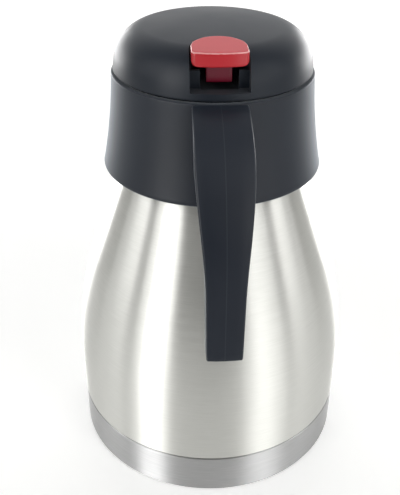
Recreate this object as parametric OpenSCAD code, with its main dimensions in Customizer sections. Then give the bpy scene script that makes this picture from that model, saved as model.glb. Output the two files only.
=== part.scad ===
// Double-walled steel carafe with a screw-in stopper lid and a press-to-pour thumb lever.
// The origin is the middle of the foot, +Z is up, the handle points to -Y and the spout to +Y.

/* [Steel body] */
// Outer radius of the straight lower wall
body_r = 70.4; // [67:0.1:75]
// Height where the straight wall begins to curve in
straight_h = 47; // [42:0.5:52]
// Radius of the steel where the taper meets the shoulder
shoulder_r = 44; // [43:0.1:46]
// Lean of the taper from upright, in degrees
taper_angle = 19.3; // [18.5:0.1:20]
// Height of the steel mouth above the table
mouth_z = 180; // [176:0.5:188]
// Outer radius of the steel neck
neck_r = 32; // [31:0.25:33]
// Thickness of the outer steel wall
shell_wall = 0.8; // [0.6:0.1:1.1]
// Thickness of the inner steel wall
liner_wall = 0.8; // [0.6:0.1:1.1]
// Width of the vacuum gap between the walls
vacuum_gap = 6; // [4:0.5:7.5]
// Height of the inside floor above the table
liner_floor_z = 14; // [12:0.5:20]
// Height of the brushed foot cup
cup_h = 21.8; // [16:0.2:28]
// Thickness of the foot cup
cup_wall = 0.8; // [0.6:0.1:1.1]
// Radius of the rounded lower edge of the foot cup
cup_edge_r = 1; // [0.9:0.1:2]

/* [Collar and spout] */
// How much wider the collar is at its lower edge than at its rim
collar_flare_w = 5.7; // [5:0.1:6.4]
// Flare of the collar at its top, in degrees
collar_top_flare = 2.5; // [1.5:0.1:3.5]
// Thickness of the collar wall
collar_wall = 2.4; // [2:0.1:3]
// Reach of the spout tip from the carafe's axis
spout_r = 63.6; // [58:0.2:68]
// Half width of the spout where it leaves the collar
spout_root_w = 17; // [15:0.5:19]
// Half width of the spout near its tip
spout_tip_w = 7.5; // [6.5:0.25:9]
// Thickness of the spout's walls
spout_wall = 2; // [1.6:0.1:2.4]

/* [Handle] */
// Distance from the axis to the grip's outer face
handle_r = 90; // [86:0.5:96]
// Height of the grip's free lower end
handle_end_z = 102.5; // [90:0.5:112]
// Width of the handle where it is widest, below the collar's rim
handle_root_w = 24.2; // [22:0.1:27]
// Width of the handle at its free end
handle_end_w = 15.7; // [14:0.1:19]
// Thickness of the grip from outer to inner face
grip_t = 11; // [9.5:0.25:13]
// Thickness of the handle's hollow walls
handle_wall = 2.6; // [2.2:0.1:3]
// Width of the bevel along the handle's edges
handle_bevel = 1.4; // [0.8:0.1:2]
// Radius of the screws that hold the handle
handle_screw_r = 1.75; // [1.5:0.05:2]

/* [Lid] */
// Outer radius of the lid dome at its lower edge
dome_r = 45.4; // [44:0.1:47]
// Height of the lid dome
dome_h = 20.9; // [20:0.1:23]
// Thickness of the lid dome
dome_wall = 2.2; // [1.8:0.1:2.6]
// Draft of the dome's side, in degrees
dome_draft = 7; // [5:0.1:8]
// Radius of the dome's rounded shoulder
dome_shoulder_r = 15.6; // [13:0.1:17]
// Radius of the dome's shallow crown
dome_crown_r = 280; // [240:1:320]
// Advance of the screw thread in one turn
thread_lead = 24; // [22.5:0.25:24.5]
// Depth of the screw thread
thread_depth = 2.6; // [2.2:0.05:2.9]
// Radius of the screws that hold the dome to the stopper
lid_screw_r = 1.45; // [1.2:0.05:1.7]

/* [Thumb lever and valve] */
// Width of the thumb pad
pad_w = 23.4; // [22:0.1:26]
// Distance from the axis to the pad's front face
pad_front = 42.4; // [41:0.1:44]
// Height of the pad's front face
pad_h = 6; // [5:0.1:6.6]
// Width of the lever arm
arm_w = 11; // [9:0.1:12]
// Distance from the axis to the lever's pin
pin_y = 28; // [26:0.25:29]
// Radius of the lever's pin
pin_r = 1.5; // [1.2:0.05:1.8]
// Radius of the valve rod
rod_r = 2.5; // [2:0.1:2.8]
// Radius of the valve disc
disc_r = 14.5; // [13.5:0.1:17]
// Radius of the port that the valve closes
port_r = 11.5; // [9:0.1:12]
// Radius of the spring wire
wire_r = 0.45; // [0.35:0.05:0.55]
// Number of turns of the valve spring
spring_turns = 6; // [5:1:6]

/* [Hidden] */
$fn = 96;
eps = 0.01;

// Clearances
fit_gap = 0.3;        // between pieces that move past each other
seat_gap = 0.1;       // between fixed pieces that slip into each other
bore_gap = 0.05;      // running fit of the pin and the rod
seam_gap = 0.5;       // open seam between collar and lid
pad_gap = 0.65;       // round the thumb pad

// Steel body, worked out from the driving sizes
cup_seat_r = body_r - cup_wall - seat_gap;
shell_foot_z = 4;
joggle_h = 0.7;
shoulder_drop = 23;
shoulder_arc_r = 10;
shoulder_angle = 72;
neck_fillet_r = 3;
bead_drop = 5;
bead_out = 0.8;
mouth_r = neck_r - 5;
liner_corner_r = 14;
foot_ring_w = 9;
foot_rise = 3;
foot_slope_w = 3;
getter_r = 8;
getter_t = 2.4;
plate_drop = 3.8;

// Heights of the stack above the steel mouth
seal_t = 1.2;
ledge_t = 1.8;
thread_z = mouth_z + seal_t + ledge_t;
thread_h = 10;
channel_z = thread_z + thread_h;
ring_deck_t = 2.5;
channel_h = 5;
lid_deck_z = channel_z + channel_h;
lid_deck_t = 2.1;
dome_z = lid_deck_z + lid_deck_t;
rim_z = dome_z - seam_gap;

// Radii of the screw joint
stopper_r = neck_r - 2;
thread_gap = 0.4;
ring_bore_r = stopper_r + thread_depth + thread_gap;
ring_wall = 3;
ring_r = ring_bore_r + ring_wall;
nose_r = mouth_r - 1;
nose_wall = 2.5;
nose_stop_w = 0.6;
nose_stop_h = 1.3;
stopper_wall = 2.6;
window_w = 12;
air_window_w = 5;
gasket_t = 2.8;
gasket_z = mouth_z + fit_gap;
step_z = gasket_z + gasket_t + fit_gap;
starts = 3;
ridge_span = 100;
ridge_root_w = 3;
ridge_crest_w = 1.6;
ridge_sink = 0.5;
flank_gap = 0.5;

// Collar, worked out from the dome above it and the steel below it
collar_r = dome_r + 0.8;
collar_bore_r = dome_r - 2.1;
collar_drop = 24.8;
collar_z = mouth_z - collar_drop;
collar_lip_t = 1.7;
collar_ledge_z = channel_z - ring_deck_t;
collar_ledge_t = 2;
collar_ledge_w = 2;
collar_ledge_slope = 2;
under_ledge_z = collar_ledge_z - collar_ledge_t - collar_ledge_slope;
spout_drop = 24;
spout_tip_drop = 6.4;
spout_lip_drop = 1.6;
spout_floor_rise = 2.2;
spout_rings = 14;
beak_squareness = 2.3;
trough_squareness = 4;

// Handle curves: distance from the axis and height
root_angle = 9;
shoulder_bend_out = 1.8;
inner_bend_r = 26;
grip_drop = 65.6;
inner_curve_rise = 10;
root_out = 0.3;
root_drop = 0.6;
root_ease = 1.6;
grip_flare = 0.025;
widest_drop = 12.6;
root_narrowing = 0.085;
bend_steps = 16;
grip_steps = 5;
hollow_start = 0.4;
cover_t = 2.2;
handle_screw_l = 17;
handle_screw_step = 11;
screw_head_t = 2.2;
screw_head_r = 3;
screw_pad_r = 4.5;
screw_pad_t = 1.2;
screw_rise = 3;

// Thumb lever and its pocket in the dome
pocket_w = pad_w + 2 * pad_gap;
pad_back_c = -pad_front + 9;
pocket_floor_z = dome_z + 3.5;
pocket_floor_t = 1.6;
pocket_wall = 1.6;
guide_y = -37.4;
guide_top_z = dome_z + 11;
guide_sink = 0.2;
slot_w = 16;
slot_front_y = -39.2;
pad_front_drop = 1.35;
pad_back_drop = 0.25;
pad_front_z = dome_z + dome_h - pad_front_drop;
pad_back_z = dome_z + dome_h - pad_back_drop;
pad_skin = 1.8;
notch_w = 3.6;
arm_z = dome_z + 5.9;
arm_t = 4;
stem_front_y = -35;
stem_t = 4;
recess_edge = 1;
recess_h = 1;
stem_z = dome_z + 5;
pin_z = dome_z + 7.4;
hub_r = 4;
nose_bump_r = 1.5;
ear_t = 3;
ear_gap = 0.5;
ear_w = 9;
press_angle = 5;
echo(valve_travel = pin_y * press_angle * PI / 180);
lid_screw_ring_r = 36;
lid_screw_l = 7;
lid_screw_head_r = 2.8;
lid_screw_head_t = 1.8;
lid_boss_r = 3.6;

// Spring well, rod and valve
well_r = 6;
well_wall = 2;
well_drop = 8;
rod_seal_t = 2;
cap_t = 1;
cap_r = 5;
cap_z = dome_z + 3;
spring_r = 4;
seat_z = mouth_z - 12;
seat_t = 2.2;
seat_lip_w = 1.7;
seat_lip_h = 0.8;
seat_flange_h = 1.2;
seal_h = 1.3;
disc_t = 2.4;
disc_z = seat_z - seat_lip_h - fit_gap - seal_h - disc_t;
rod_flange_t = 1.2;

function on_arc(c, r, a) = [c[0] + r * cos(a), c[1] + r * sin(a)];
function arc(c, r, a0, a1, n) = [for (i = [0 : n]) on_arc(c, r, a0 + (a1 - a0) * i / n)];
function reversed(list) = [for (i = [len(list) - 1 : -1 : 0]) list[i]];
function mix(a, b, t) = a + (b - a) * t;

// Side outline of the steel: the belly curve, the taper, the shoulder and the foot of the neck.
// inset moves it inwards; the neck keeps its own radius.
shoulder_z = mouth_z - shoulder_drop;
belly_arc_r = ((shoulder_z - straight_h) * tan(taper_angle) - body_r + shoulder_r)
    * cos(taper_angle) / (1 - cos(taper_angle));
belly_c = [body_r - belly_arc_r, straight_h];
belly_end = on_arc(belly_c, belly_arc_r, taper_angle);
function taper_r(z) = belly_end[0] - (z - belly_end[1]) * tan(taper_angle);
shoulder_c = [
    taper_r(shoulder_z) - shoulder_arc_r * cos(taper_angle),
    shoulder_z - shoulder_arc_r * sin(taper_angle)
];
function shoulder_end(inset) = on_arc(shoulder_c, shoulder_arc_r - inset, shoulder_angle);
function fillet_c(inset, own_neck_r, own_fillet_r) = [
    own_neck_r + own_fillet_r,
    shoulder_end(inset)[1]
        + (own_fillet_r - (own_neck_r + own_fillet_r - shoulder_end(inset)[0]) * cos(shoulder_angle))
        / sin(shoulder_angle)
];
function steel_line(inset, own_neck_r, own_fillet_r) = concat(
    arc(belly_c, belly_arc_r - inset, 0, taper_angle, 12),
    arc(shoulder_c, shoulder_arc_r - inset, taper_angle, shoulder_angle, 6),
    arc(fillet_c(inset, own_neck_r, own_fillet_r), own_fillet_r, 180 + shoulder_angle, 180, 4)
);

// The rolled bead on the neck that the neck ring snaps over
bead_z = mouth_z - bead_drop;
function bead_line(r) = [
    [r, bead_z - 1], [r + bead_out, bead_z - 0.35], [r + bead_out, bead_z + 0.35], [r, bead_z + 1]
];

// Side outline of the dome: drafted side, rounded shoulder and shallow crown
side_n = [cos(dome_draft), sin(dome_draft)];
side_t = [-sin(dome_draft), cos(dome_draft)];
crown_c = [0, dome_z + dome_h - dome_crown_r];
side_p = side_n * (dome_r * cos(dome_draft) + dome_z * sin(dome_draft) - dome_shoulder_r);
side_b = (side_p - crown_c) * side_t;
side_k = (side_p - crown_c) * (side_p - crown_c) - pow(dome_crown_r - dome_shoulder_r, 2);
dome_shoulder_c = side_p + side_t * (sqrt(side_b * side_b - side_k) - side_b);
crown_angle = atan2(dome_shoulder_c[1] - crown_c[1], dome_shoulder_c[0]);
function dome_line(inset) = concat(
    [[dome_r - inset / cos(dome_draft), dome_z]],
    arc(dome_shoulder_c, dome_shoulder_r - inset, dome_draft, crown_angle, 12),
    arc(crown_c, dome_crown_r - inset, crown_angle, 90, 5)
);

// Side outline of the collar: an arc that flares out from the rim to the lower edge
flare_h = rim_z - collar_z;
collar_low_r = collar_r + collar_flare_w;
flare_low = 2 * atan((collar_low_r - collar_r) / flare_h) - collar_top_flare;
flare_r = flare_h / (sin(flare_low) - sin(collar_top_flare));
flare_c = [collar_r + flare_r * cos(collar_top_flare), rim_z + flare_r * sin(collar_top_flare)];
function flare_at(z, inset) = flare_c[0] - sqrt(pow(flare_r + inset, 2) - pow(flare_c[1] - z, 2));
function flare_line(inset, z0, z1, n) = [
    for (i = [0 : n]) let (z = mix(z0, z1, i / n)) [flare_at(z, inset), z]
];

// A tube through rings of points; the points run anticlockwise when looking along the tube
module skin(rings) {
    k = len(rings[0]);
    last = (len(rings) - 1) * k;
    points = [for (ring = rings) each ring];
    sides = [
        for (i = [0 : len(rings) - 2], j = [0 : k - 1]) let (
            a = i * k + j,
            b = i * k + (j + 1) % k
        ) each [[a, b, b + k], [a, b + k, a + k]]
    ];
    start_cap = [for (j = [1 : k - 2]) [0, j + 1, j]];
    end_cap = [for (j = [1 : k - 2]) [last, last + j, last + j + 1]];
    polyhedron(points = points, faces = concat(start_cap, sides, end_cap));
}

// One helical ridge of the screw thread, thinned at both ends
function turned(r, a, z) = [r * cos(a), r * sin(a), z];
module ridge(r_in, w_in, r_out, w_out, a0, z0) {
    n = 16;
    skin([
        for (i = [0 : n]) let (
            a = a0 + ridge_span * i / n,
            z = z0 + thread_lead * ridge_span / 360 * i / n,
            full = min(1, 0.4 + 0.3 * min(i, n - i))
        ) [
            turned(r_in, a, z - w_in / 2 * full),
            turned(r_out, a, z - w_out / 2 * full),
            turned(r_out, a, z + w_out / 2 * full),
            turned(r_in, a, z + w_in / 2 * full)
        ]
    ]);
}
ridge_len = thread_depth + ridge_sink;
flank_sum = ridge_root_w - (ridge_root_w - ridge_crest_w) / 2 * (thread_depth + thread_gap + 2 * ridge_sink)
    / ridge_len;
ring_ridge_z = thread_z + ridge_root_w / 2;
stopper_ridge_drop = flank_sum + flank_gap;
stopper_ridge_a = (step_z + ridge_root_w / 2 + stopper_ridge_drop - ring_ridge_z) / thread_lead * 360;

// Handle curves, as distance from the axis and height. The outer line is a bend at the shoulder
// that runs smoothly into a wider bend, which ends upright at the grip.
root_point = [collar_r + root_out, rim_z - root_drop];
function bend_dir(a) = [sin(a), cos(a)];
shoulder_bend_r = handle_r - collar_r - shoulder_bend_out;
bend_c = root_point - shoulder_bend_r * bend_dir(root_angle);
bend_off = [handle_r - bend_c[0], bend_c[1] - rim_z + grip_drop];
grip_bend_r = (bend_off * bend_off - pow(shoulder_bend_r, 2)) / (2 * (bend_off[0] - shoulder_bend_r));
blend_angle = asin((grip_bend_r - bend_off[0]) / (grip_bend_r - shoulder_bend_r));
grip_c = [handle_r - grip_bend_r, rim_z - grip_drop];
inner_c = [handle_r - grip_t - inner_bend_r, grip_c[1] + inner_curve_rise];
function outer_at(s) = let (a = mix(root_angle, 90, s))
    a < blend_angle ? bend_c + shoulder_bend_r * bend_dir(a) : grip_c + grip_bend_r * bend_dir(a);
function inner_at(s) = inner_c + inner_bend_r * bend_dir(90 * pow(s, root_ease));
// The grip widens slowly from its free end, swells where it bends and narrows a little at the root
widest_z = rim_z - widest_drop;
swell_w = handle_root_w - handle_end_w - grip_flare * (widest_z - handle_end_z);
function eased(x) = let (t = min(1, max(0, x))) t * t * (3 - 2 * t);
function handle_w(z) = handle_end_w + grip_flare * (z - handle_end_z)
    + swell_w * eased((z - grip_c[1]) / (widest_z - grip_c[1])) - root_narrowing * max(0, z - widest_z);
// Pairs of outer and inner points from bend position s0 to a stop short of the free end
function handle_pairs(s0, stop) = concat(
    [for (i = [0 : bend_steps]) let (s = mix(s0, 1, i / bend_steps)) [outer_at(s), inner_at(s)]],
    [for (i = [1 : grip_steps]) let (t = i / grip_steps) [
        [handle_r, mix(grip_c[1], handle_end_z + stop, t)],
        [handle_r - grip_t, mix(inner_c[1], handle_end_z + stop, t)]
    ]]
);
// One ring of eight points round a pair, drawn in at the sides and at both faces
function handle_ring(pair, side_in, outer_in, inner_in, bevel) = let (
    depth = norm(pair[1] - pair[0]),
    across = (pair[1] - pair[0]) / depth,
    o = pair[0] + across * outer_in,
    i = pair[1] - across * inner_in,
    o_side = o + across * bevel,
    i_side = i - across * bevel,
    w0 = handle_w(pair[0][1]) / 2 - side_in,
    w1 = handle_w(pair[1][1]) / 2 - side_in,
    wo = mix(w0, w1, outer_in / depth),
    wi = mix(w1, w0, inner_in / depth)
) [
    [wi - bevel, -i[0], i[1]], [bevel - wi, -i[0], i[1]],
    [-wi, -i_side[0], i_side[1]], [-wo, -o_side[0], o_side[1]],
    [bevel - wo, -o[0], o[1]], [wo - bevel, -o[0], o[1]],
    [wo, -o_side[0], o_side[1]], [wi, -i_side[0], i_side[1]]
];

function handle_screw_heights() = [
    for (i = [0, 1]) inner_c[1] + inner_bend_r + screw_rise + i * handle_screw_step
];
screw_pad_y = screw_pad_t - flare_at(handle_screw_heights()[1], collar_wall);

module along_y(y, z) {
    translate([0, y, z]) rotate([90, 0, 0]) children();
}

module at_lid_screws() {
    for (a = [45 : 90 : 315]) rotate([0, 0, a]) translate([lid_screw_ring_r, 0, 0]) children();
}

// Outline of the thumb pad seen from above: straight sides and a round back
module pad_outline(grow) {
    r = pad_w / 2 + grow;
    translate([0, pad_back_c]) circle(r);
    translate([-r, -dome_r - 2]) square([2 * r, dome_r + 2 + pad_back_c]);
}

module dome_solid(inset) {
    rotate_extrude() polygon(concat([[0, dome_z]], dome_line(inset)));
}

module outer_shell() {
    outside = concat(
        [[cup_seat_r, shell_foot_z], [cup_seat_r, cup_h + 0.2], [body_r, cup_h + 0.2 + joggle_h]],
        steel_line(0, neck_r, neck_fillet_r),
        bead_line(neck_r),
        [[neck_r, mouth_z]]
    );
    inside = concat(
        [[cup_seat_r - shell_wall, shell_foot_z], [cup_seat_r - shell_wall, cup_h + 0.5]],
        [[body_r - shell_wall, cup_h + 0.5 + joggle_h]],
        steel_line(shell_wall, neck_r - shell_wall, neck_fillet_r + shell_wall),
        bead_line(neck_r - shell_wall),
        [[neck_r - shell_wall, mouth_z]]
    );
    color("#b9b8ad") rotate_extrude() polygon(concat(outside, reversed(inside)));
}

module inner_liner() {
    inset = shell_wall + vacuum_gap;
    corner_c = [body_r - inset - liner_corner_r, liner_floor_z - liner_wall + liner_corner_r];
    outside = concat(
        [[0, liner_floor_z - liner_wall]],
        arc(corner_c, liner_corner_r, -90, 0, 6),
        steel_line(inset, mouth_r + liner_wall, neck_fillet_r),
        [[mouth_r + liner_wall, mouth_z - liner_wall], [neck_r - shell_wall, mouth_z - liner_wall]],
        [[neck_r - shell_wall, mouth_z]]
    );
    inside = concat(
        [[0, liner_floor_z]],
        arc(corner_c, liner_corner_r - liner_wall, -90, 0, 6),
        steel_line(inset + liner_wall, mouth_r, neck_fillet_r + liner_wall),
        [[mouth_r, mouth_z]]
    );
    color("#c9c8c2") rotate_extrude() polygon(concat(outside, reversed(inside)));
}

// Welded bottom of the vacuum space, with the sealed pump-out point under its middle
module vacuum_base_plate() {
    r = cup_seat_r - shell_wall;
    z = shell_foot_z + plate_drop;
    color("#a9a9a4") {
        rotate_extrude() polygon([
            [0, z - shell_wall], [r - shell_wall, z - shell_wall], [r - shell_wall, shell_foot_z],
            [r, shell_foot_z], [r, z], [0, z]
        ]);
        translate([0, 0, z - shell_wall - 1.2]) cylinder(r = 5, h = 1.2 + eps);
    }
}

// Gas-absorbing tablet in its pressed holder
module getter() {
    color("#8b8b87") translate([0, 0, shell_foot_z + plate_drop]) difference() {
        cylinder(r = getter_r, h = getter_t);
        translate([0, 0, getter_t - 0.8]) cylinder(r = getter_r - 1.5, h = 1);
    }
}

module base_cup() {
    slope_in = body_r - cup_edge_r - foot_ring_w;
    edge_c = [body_r - cup_edge_r, cup_edge_r];
    outside = concat(
        [[0, foot_rise], [slope_in - foot_slope_w, foot_rise], [slope_in, 0]],
        arc(edge_c, cup_edge_r, -90, 0, 5),
        [[body_r, cup_h - 0.3], [body_r - 0.3, cup_h]]
    );
    inside = concat(
        [[0, foot_rise + cup_wall], [slope_in - foot_slope_w + 0.4, foot_rise + cup_wall]],
        [[slope_in + 0.4, cup_wall]],
        arc(edge_c, cup_edge_r - cup_wall, -90, 0, 5),
        [[body_r - cup_wall, cup_h]]
    );
    color("#9a9a96") rotate_extrude() polygon(concat(outside, reversed(inside)));
}

// Spout, as sections along its length: t is 0 at the collar's bore and 1 at the tip
spout_root_y = collar_bore_r - 1;
function spout_y(t) = mix(spout_root_y, spout_r, t);
function spout_nose(t) = sqrt(1 - 0.75 * pow(max(0, (t - 0.8) / 0.2), 2));
function spout_half_w(t) = mix(spout_tip_w, spout_root_w, pow(1 - t, 1.5)) * spout_nose(t);
function spout_top(t) = rim_z - spout_lip_drop * pow(max(0, 2 * t - 1), 2);
function spout_low(t) = rim_z - mix(spout_drop, spout_tip_drop, pow(t, 0.8));
function trough_half_w(t) = spout_half_w(t) - spout_wall * (1 - 0.4 * t);
function trough_low(t) = channel_z + spout_floor_rise * t * t;
// Half of a rounded section, from its right top corner under the bottom to the left one
function bowl(half_w, top, low, squareness) = [
    for (i = [0 : 12]) let (
        a = 180 * i / 12,
        c = cos(a),
        x = sign(c) * pow(abs(c), 2 / squareness),
        d = pow(sin(a), 2 / squareness)
    ) [half_w * x, top - (top - low) * d]
];
// Half width of such a section at height z
function bowl_w(half_w, top, low, squareness, z) =
    half_w * pow(1 - pow((top - z) / (top - low), squareness), 1 / squareness);
function spout_ring(y, section) = [for (p = section) [-p[0], y, p[1]]];

module spout_beak() {
    skin([
        for (i = [0 : spout_rings]) let (t = i / spout_rings)
            spout_ring(spout_y(t), bowl(spout_half_w(t), spout_top(t), spout_low(t), beak_squareness))
    ]);
}

module spout_trough() {
    n = spout_rings + 2;
    skin([
        for (i = [-4 : n]) let (
            t = i / spout_rings,
            w = trough_half_w(min(1, max(0, t))),
            low = trough_low(max(0, t)),
            lifted = [[w, rim_z + 8]],
            closed = [[-w, rim_z + 8]]
        ) spout_ring(spout_y(t), concat(lifted, bowl(w, rim_z, low, trough_squareness), closed))
    ]);
}

// Hollow behind the spout, which leaves an even wall under the trough and along the beak
module spout_hollow() {
    n = 6;
    skin([
        for (i = [0 : n]) let (
            t = mix(-0.12, 0.5, i / n),
            k = max(0, t),
            top = i < 2 ? under_ledge_z - fit_gap : collar_ledge_z - 0.2,
            w = bowl_w(spout_half_w(k), spout_top(k), spout_low(k), beak_squareness, top) - 1.2 * spout_wall,
            low = min(top - 0.4, spout_low(k) + 1.4 * spout_wall)
        ) spout_ring(spout_y(t), bowl(w, top, low, beak_squareness))
    ]);
}

module collar() {
    lip_r = taper_r(collar_z) + fit_gap;
    outside = concat(
        [[lip_r, collar_z], [flare_at(collar_z, 0) - 1, collar_z]],
        flare_line(0, collar_z + 1.1, rim_z - 0.5, 12),
        [[collar_r - 0.4, rim_z], [collar_bore_r, rim_z]]
    );
    inside = concat(
        [[lip_r, collar_z + collar_lip_t]],
        flare_line(collar_wall, collar_z + collar_lip_t, under_ledge_z, 8),
        [[collar_bore_r - collar_ledge_w, collar_ledge_z - collar_ledge_t]],
        [[collar_bore_r - collar_ledge_w, collar_ledge_z], [collar_bore_r, collar_ledge_z]]
    );
    color("#33363c") difference() {
        union() {
            rotate_extrude() polygon(concat(outside, reversed(inside)));
            difference() {
                spout_beak();
                cylinder(r = collar_bore_r + 1, h = 2 * mouth_z);
            }
            for (z = handle_screw_heights()) along_y(screw_pad_y, z)
                cylinder(r = screw_pad_r, h = flare_at(z, collar_wall / 2) + screw_pad_y);
        }
        spout_trough();
        spout_hollow();
        for (z = handle_screw_heights()) along_y(0, z) cylinder(r = handle_screw_r + seat_gap, h = dome_r + 10);
    }
}

// Threaded ring that snaps over the neck bead and clamps the collar down on the steel
module neck_ring() {
    groove_r = neck_r + bead_out + seat_gap;
    skirt_r = neck_r + seat_gap;
    seal_z = mouth_z + seal_t;
    low_z = mouth_z - 9;
    color("#2b2d31") {
        rotate_extrude() polygon([
            [stopper_r + thread_gap, seal_z], [skirt_r, seal_z],
            [skirt_r, bead_z + 1.2], [groove_r, bead_z + 0.6], [groove_r, bead_z - 0.6],
            [skirt_r, bead_z - 1.2], [skirt_r, low_z],
            [ring_r, low_z], [ring_r, collar_ledge_z],
            [collar_bore_r - fit_gap, collar_ledge_z], [collar_bore_r - fit_gap, channel_z],
            [ring_bore_r, channel_z], [ring_bore_r, thread_z], [stopper_r + thread_gap, thread_z]
        ]);
        for (k = [0 : starts - 1])
            ridge(stopper_r + thread_gap, ridge_crest_w, ring_bore_r + ridge_sink, ridge_root_w,
                k * 360 / starts, ring_ridge_z);
    }
}

module neck_seal() {
    color("#d8d8d2") translate([0, 0, mouth_z]) difference() {
        cylinder(r = neck_r, h = seal_t);
        translate([0, 0, -1]) cylinder(r = stopper_r + thread_gap + seat_gap, h = seal_t + 2);
    }
}

// Solid of revolution that the handle's root is cut to
module collar_envelope() {
    rotate_extrude() polygon(concat(
        [[0, collar_z - 1], [flare_at(collar_z, 0), collar_z - 1]],
        flare_line(-seat_gap, collar_z, rim_z, 12),
        [[collar_r + seat_gap, rim_z + 12], [0, rim_z + 12]]
    ));
}

module handle() {
    root_pair = [
        [root_point[0] - 6, root_point[1] + 6 * tan(root_angle)],
        [root_point[0] - 6, inner_c[1] + inner_bend_r]
    ];
    pairs = concat([root_pair], handle_pairs(0, 0));
    hollow = handle_pairs(hollow_start, handle_wall);
    color("#2f3238") difference() {
        skin([for (pair = pairs) handle_ring(pair, 0, 0, 0, handle_bevel)]);
        skin([for (pair = hollow) handle_ring(pair, handle_wall, handle_wall, -3, 0.3)]);
        collar_envelope();
        for (z = handle_screw_heights()) along_y(0, z)
            cylinder(r = handle_screw_r + bore_gap, h = handle_screw_l - screw_pad_y + 1);
    }
}

module handle_inner_cover() {
    pairs = handle_pairs(hollow_start + 0.01, handle_wall + seat_gap);
    side = handle_wall + seat_gap;
    color("#2a2c31")
        skin([for (pair = pairs) handle_ring(pair, side, norm(pair[1] - pair[0]) - cover_t, 0, 0.3)]);
}

// Cross-shaped driver recess in the outer face of a screw head
module cross_slot(head_r) {
    w = head_r / 4;
    for (a = [0, 90]) rotate([0, 0, a]) translate([-0.65 * head_r, -w / 2, -1]) cube([1.3 * head_r, w, 2]);
}

module handle_screws() {
    color("#c7c8c6") for (z = handle_screw_heights()) along_y(screw_pad_y, z) {
        cylinder(r = handle_screw_r, h = handle_screw_l);
        translate([0, 0, -screw_head_t]) difference() {
            cylinder(r = screw_head_r, h = screw_head_t);
            cross_slot(screw_head_r);
        }
    }
}

module stopper_gasket() {
    color("#dcdcd6") translate([0, 0, gasket_z]) difference() {
        cylinder(r = stopper_r - seat_gap, h = gasket_t);
        translate([0, 0, -1]) cylinder(r = nose_r + seat_gap, h = gasket_t + 2);
    }
}

module stopper_body() {
    inner_r = nose_r - nose_wall;
    upper_r = stopper_r - stopper_wall;
    deck_r = dome_r - dome_wall - seam_gap;
    stop_z = gasket_z - nose_stop_h;
    window_z = channel_z + 0.4;
    window_h = lid_deck_z - window_z - 0.2;
    well_z = lid_deck_z - well_drop;
    pin_ear_x = arm_w / 2 + ear_gap;
    color("#26282c") difference() {
        union() {
            rotate_extrude() polygon([
                [inner_r, seat_z], [nose_r, seat_z], [nose_r, stop_z - 0.3], [nose_r + nose_stop_w, stop_z],
                [nose_r + nose_stop_w, gasket_z - fit_gap], [nose_r, gasket_z - fit_gap], [nose_r, step_z],
                [stopper_r, step_z], [stopper_r, lid_deck_z], [deck_r, lid_deck_z],
                [deck_r, dome_z], [well_r, dome_z], [well_r, well_z],
                [rod_r + bore_gap, well_z], [rod_r + bore_gap, well_z - well_wall],
                [well_r + well_wall, well_z - well_wall], [well_r + well_wall, lid_deck_z],
                [upper_r, lid_deck_z], [upper_r, step_z + 4.4], [inner_r, step_z + 2.2]
            ]);
            for (k = [0 : starts - 1])
                ridge(stopper_r - ridge_sink, ridge_root_w, stopper_r + thread_depth, ridge_crest_w,
                    k * 360 / starts + stopper_ridge_a, step_z + ridge_root_w / 2);
            for (side = [-1, 1]) translate([side * (pin_ear_x + ear_t / 2), pin_y, dome_z - eps])
                rotate([0, 90, 0]) translate([0, 0, -ear_t / 2]) {
                    translate([-(pin_z - dome_z), 0, 0]) cylinder(r = ear_w / 2, h = ear_t);
                    translate([-(pin_z - dome_z), -ear_w / 2, 0]) cube([pin_z - dome_z, ear_w, ear_t]);
                }
        }
        translate([-20, pin_y, pin_z]) rotate([0, 90, 0]) cylinder(r = pin_r + bore_gap, h = 40);
        // Three windows face the spout and one small one lets air in at the back
        for (a = [50, 90, 130]) rotate([0, 0, a]) translate([upper_r - 2, -window_w / 2, window_z])
            cube([stopper_wall + 6, window_w, window_h]);
        rotate([0, 0, -90]) translate([upper_r - 2, -air_window_w / 2, window_z])
            cube([stopper_wall + 6, air_window_w, window_h]);
        at_lid_screws() translate([0, 0, lid_deck_z - 1]) cylinder(r = lid_screw_r + 0.2, h = lid_deck_t + 2);
        // Recess that the pressed stem dips into
        translate([-arm_w / 2 - recess_edge, stem_front_y - recess_edge, dome_z - recess_h])
            cube([arm_w + 2 * recess_edge, stem_t + 2 * recess_edge, 2 * recess_h]);
    }
}

// Insert that closes the stopper's nose: the valve port, its lip and the lower guide of the rod
module valve_seat() {
    inner_r = nose_r - nose_wall - seat_gap;
    edge_r = nose_r - 5;
    hub = rod_r + 2.5;
    spoke_w = 3;
    color("#3a3c40") {
        rotate_extrude() polygon([
            [port_r, seat_z - seat_lip_h], [port_r + seat_lip_w, seat_z - seat_lip_h],
            [port_r + seat_lip_w, seat_z], [edge_r, seat_z], [edge_r, seat_z - seat_flange_h],
            [nose_r, seat_z - seat_flange_h], [nose_r, seat_z], [inner_r, seat_z],
            [inner_r, seat_z + seat_t], [port_r, seat_z + seat_t]
        ]);
        translate([0, 0, seat_z]) difference() {
            union() {
                cylinder(r = hub, h = seat_t);
                for (a = [30, 150, 270]) rotate([0, 0, a]) translate([0, -spoke_w / 2, 0])
                    cube([port_r + 0.5, spoke_w, seat_t]);
            }
            translate([0, 0, -1]) cylinder(r = rod_r + bore_gap, h = seat_t + 2);
        }
    }
}

module rod_seal() {
    color("#dcdcd6") translate([0, 0, lid_deck_z - well_drop]) difference() {
        cylinder(r = well_r - seat_gap, h = rod_seal_t);
        translate([0, 0, -1]) cylinder(r = rod_r + bore_gap, h = rod_seal_t + 2);
    }
}

module lever_pin() {
    l = arm_w + 2 * (ear_gap + ear_t) + 1;
    color("#b7b8b6") translate([-l / 2, pin_y, pin_z]) rotate([0, 90, 0]) cylinder(r = pin_r, h = l);
}

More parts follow.
